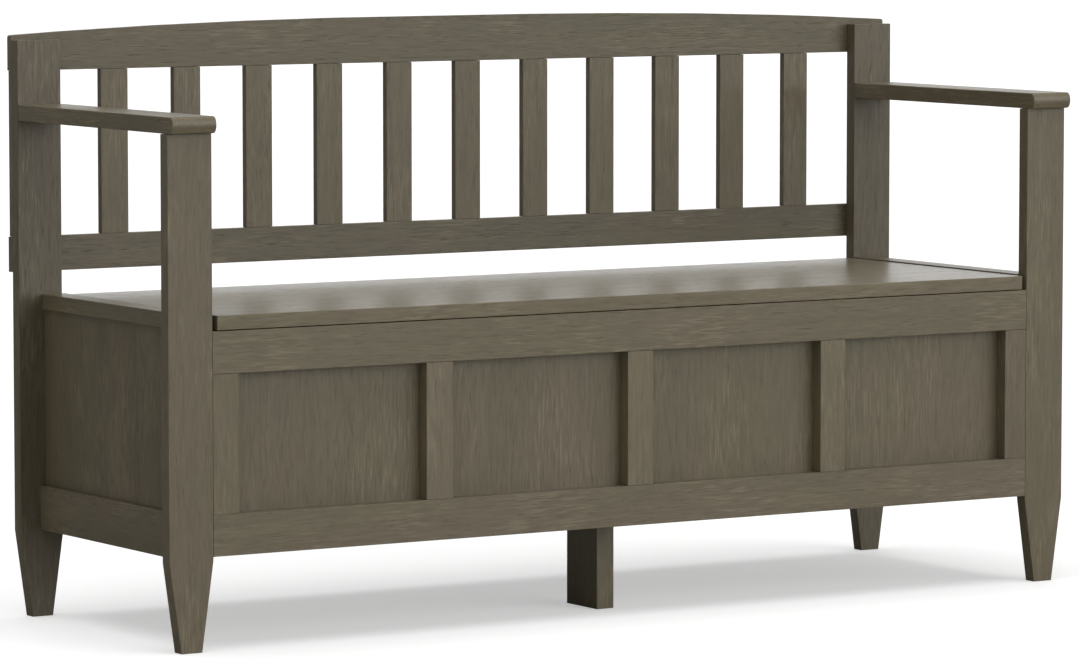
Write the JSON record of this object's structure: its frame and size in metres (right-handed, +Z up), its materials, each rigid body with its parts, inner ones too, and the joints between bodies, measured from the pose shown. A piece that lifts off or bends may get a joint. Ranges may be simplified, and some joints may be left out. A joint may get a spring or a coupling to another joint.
{
  "type": "storage bench",
  "caption": "Entryway storage bench with a lift-up seat lid, flat armrests, tapered feet and a low slatted back under an arched crest rail.",
  "frame": {"origin": "on the floor, at the middle of the bench's width and depth", "axes": "+X to the right seen from the front, +Y to the back, +Z up"},
  "size_m": [1.27, 0.414, 0.71],
  "materials": {
    "stained_wood": "grey-brown stain under a satin lacquer",
    "inside_wood": "thin stain, matt",
    "hinge_steel": "zinc-plated, satin"
  },
  "bodies": {
    "bench": {"armrest_left": "stained_wood", "armrest_right": "stained_wood", "back_slat_01": "stained_wood", "back_slat_02": "stained_wood", "back_slat_03": "stained_wood", "back_slat_04": "stained_wood", "back_slat_05": "stained_wood", "back_slat_06": "stained_wood", "back_slat_07": "stained_wood", "back_slat_08": "stained_wood", "back_slat_09": "stained_wood", "back_slat_10": "stained_wood", "back_slat_11": "stained_wood", "back_stile_left": "stained_wood", "back_stile_right": "stained_wood", "box_floor": "inside_wood", "centre_leg": "stained_wood", "corner_block_front_left": "inside_wood", "corner_block_front_right": "inside_wood", "corner_block_rear_left": "inside_wood", "corner_block_rear_right": "inside_wood", "crest_rail": "stained_wood", "floor_cleat_front": "inside_wood", "floor_cleat_rear": "inside_wood", "front_bottom_rail": "stained_wood", "front_mullion_1": "stained_wood", "front_mullion_2": "stained_wood", "front_mullion_3": "stained_wood", "front_panel_1": "stained_wood", "front_panel_2": "stained_wood", "front_panel_3": "stained_wood", "front_panel_4": "stained_wood", "front_post_left": "stained_wood", "front_post_right": "stained_wood", "front_stile_left": "stained_wood", "front_stile_right": "stained_wood", "front_top_rail": "stained_wood", "hinge_left_pin": "hinge_steel", "hinge_left_rail_leaf": "hinge_steel", "hinge_right_pin": "hinge_steel", "hinge_right_rail_leaf": "hinge_steel", "lower_back_rail": "stained_wood", "rear_bottom_rail": "stained_wood", "rear_panel": "stained_wood", "rear_post_left": "stained_wood", "rear_post_right": "stained_wood", "rear_top_rail": "stained_wood", "side_bottom_rail_left": "stained_wood", "side_bottom_rail_right": "stained_wood", "side_panel_left": "stained_wood", "side_panel_right": "stained_wood", "side_top_strip_left": "stained_wood", "side_top_strip_right": "stained_wood"},
    "seat_lid": {"lid": "stained_wood", "lid_batten_left": "inside_wood", "lid_batten_right": "inside_wood", "hinge_left_lid_leaf": "hinge_steel", "hinge_right_lid_leaf": "hinge_steel"}
  },
  "joints": [
    {"name": "lid_hinge", "type": "hinge", "parent": "bench", "child": "seat_lid", "pos_m": [0, 0.1764, 0.3685], "axis": [-1, 0, 0], "range_deg": [0, 88]}
  ]
}
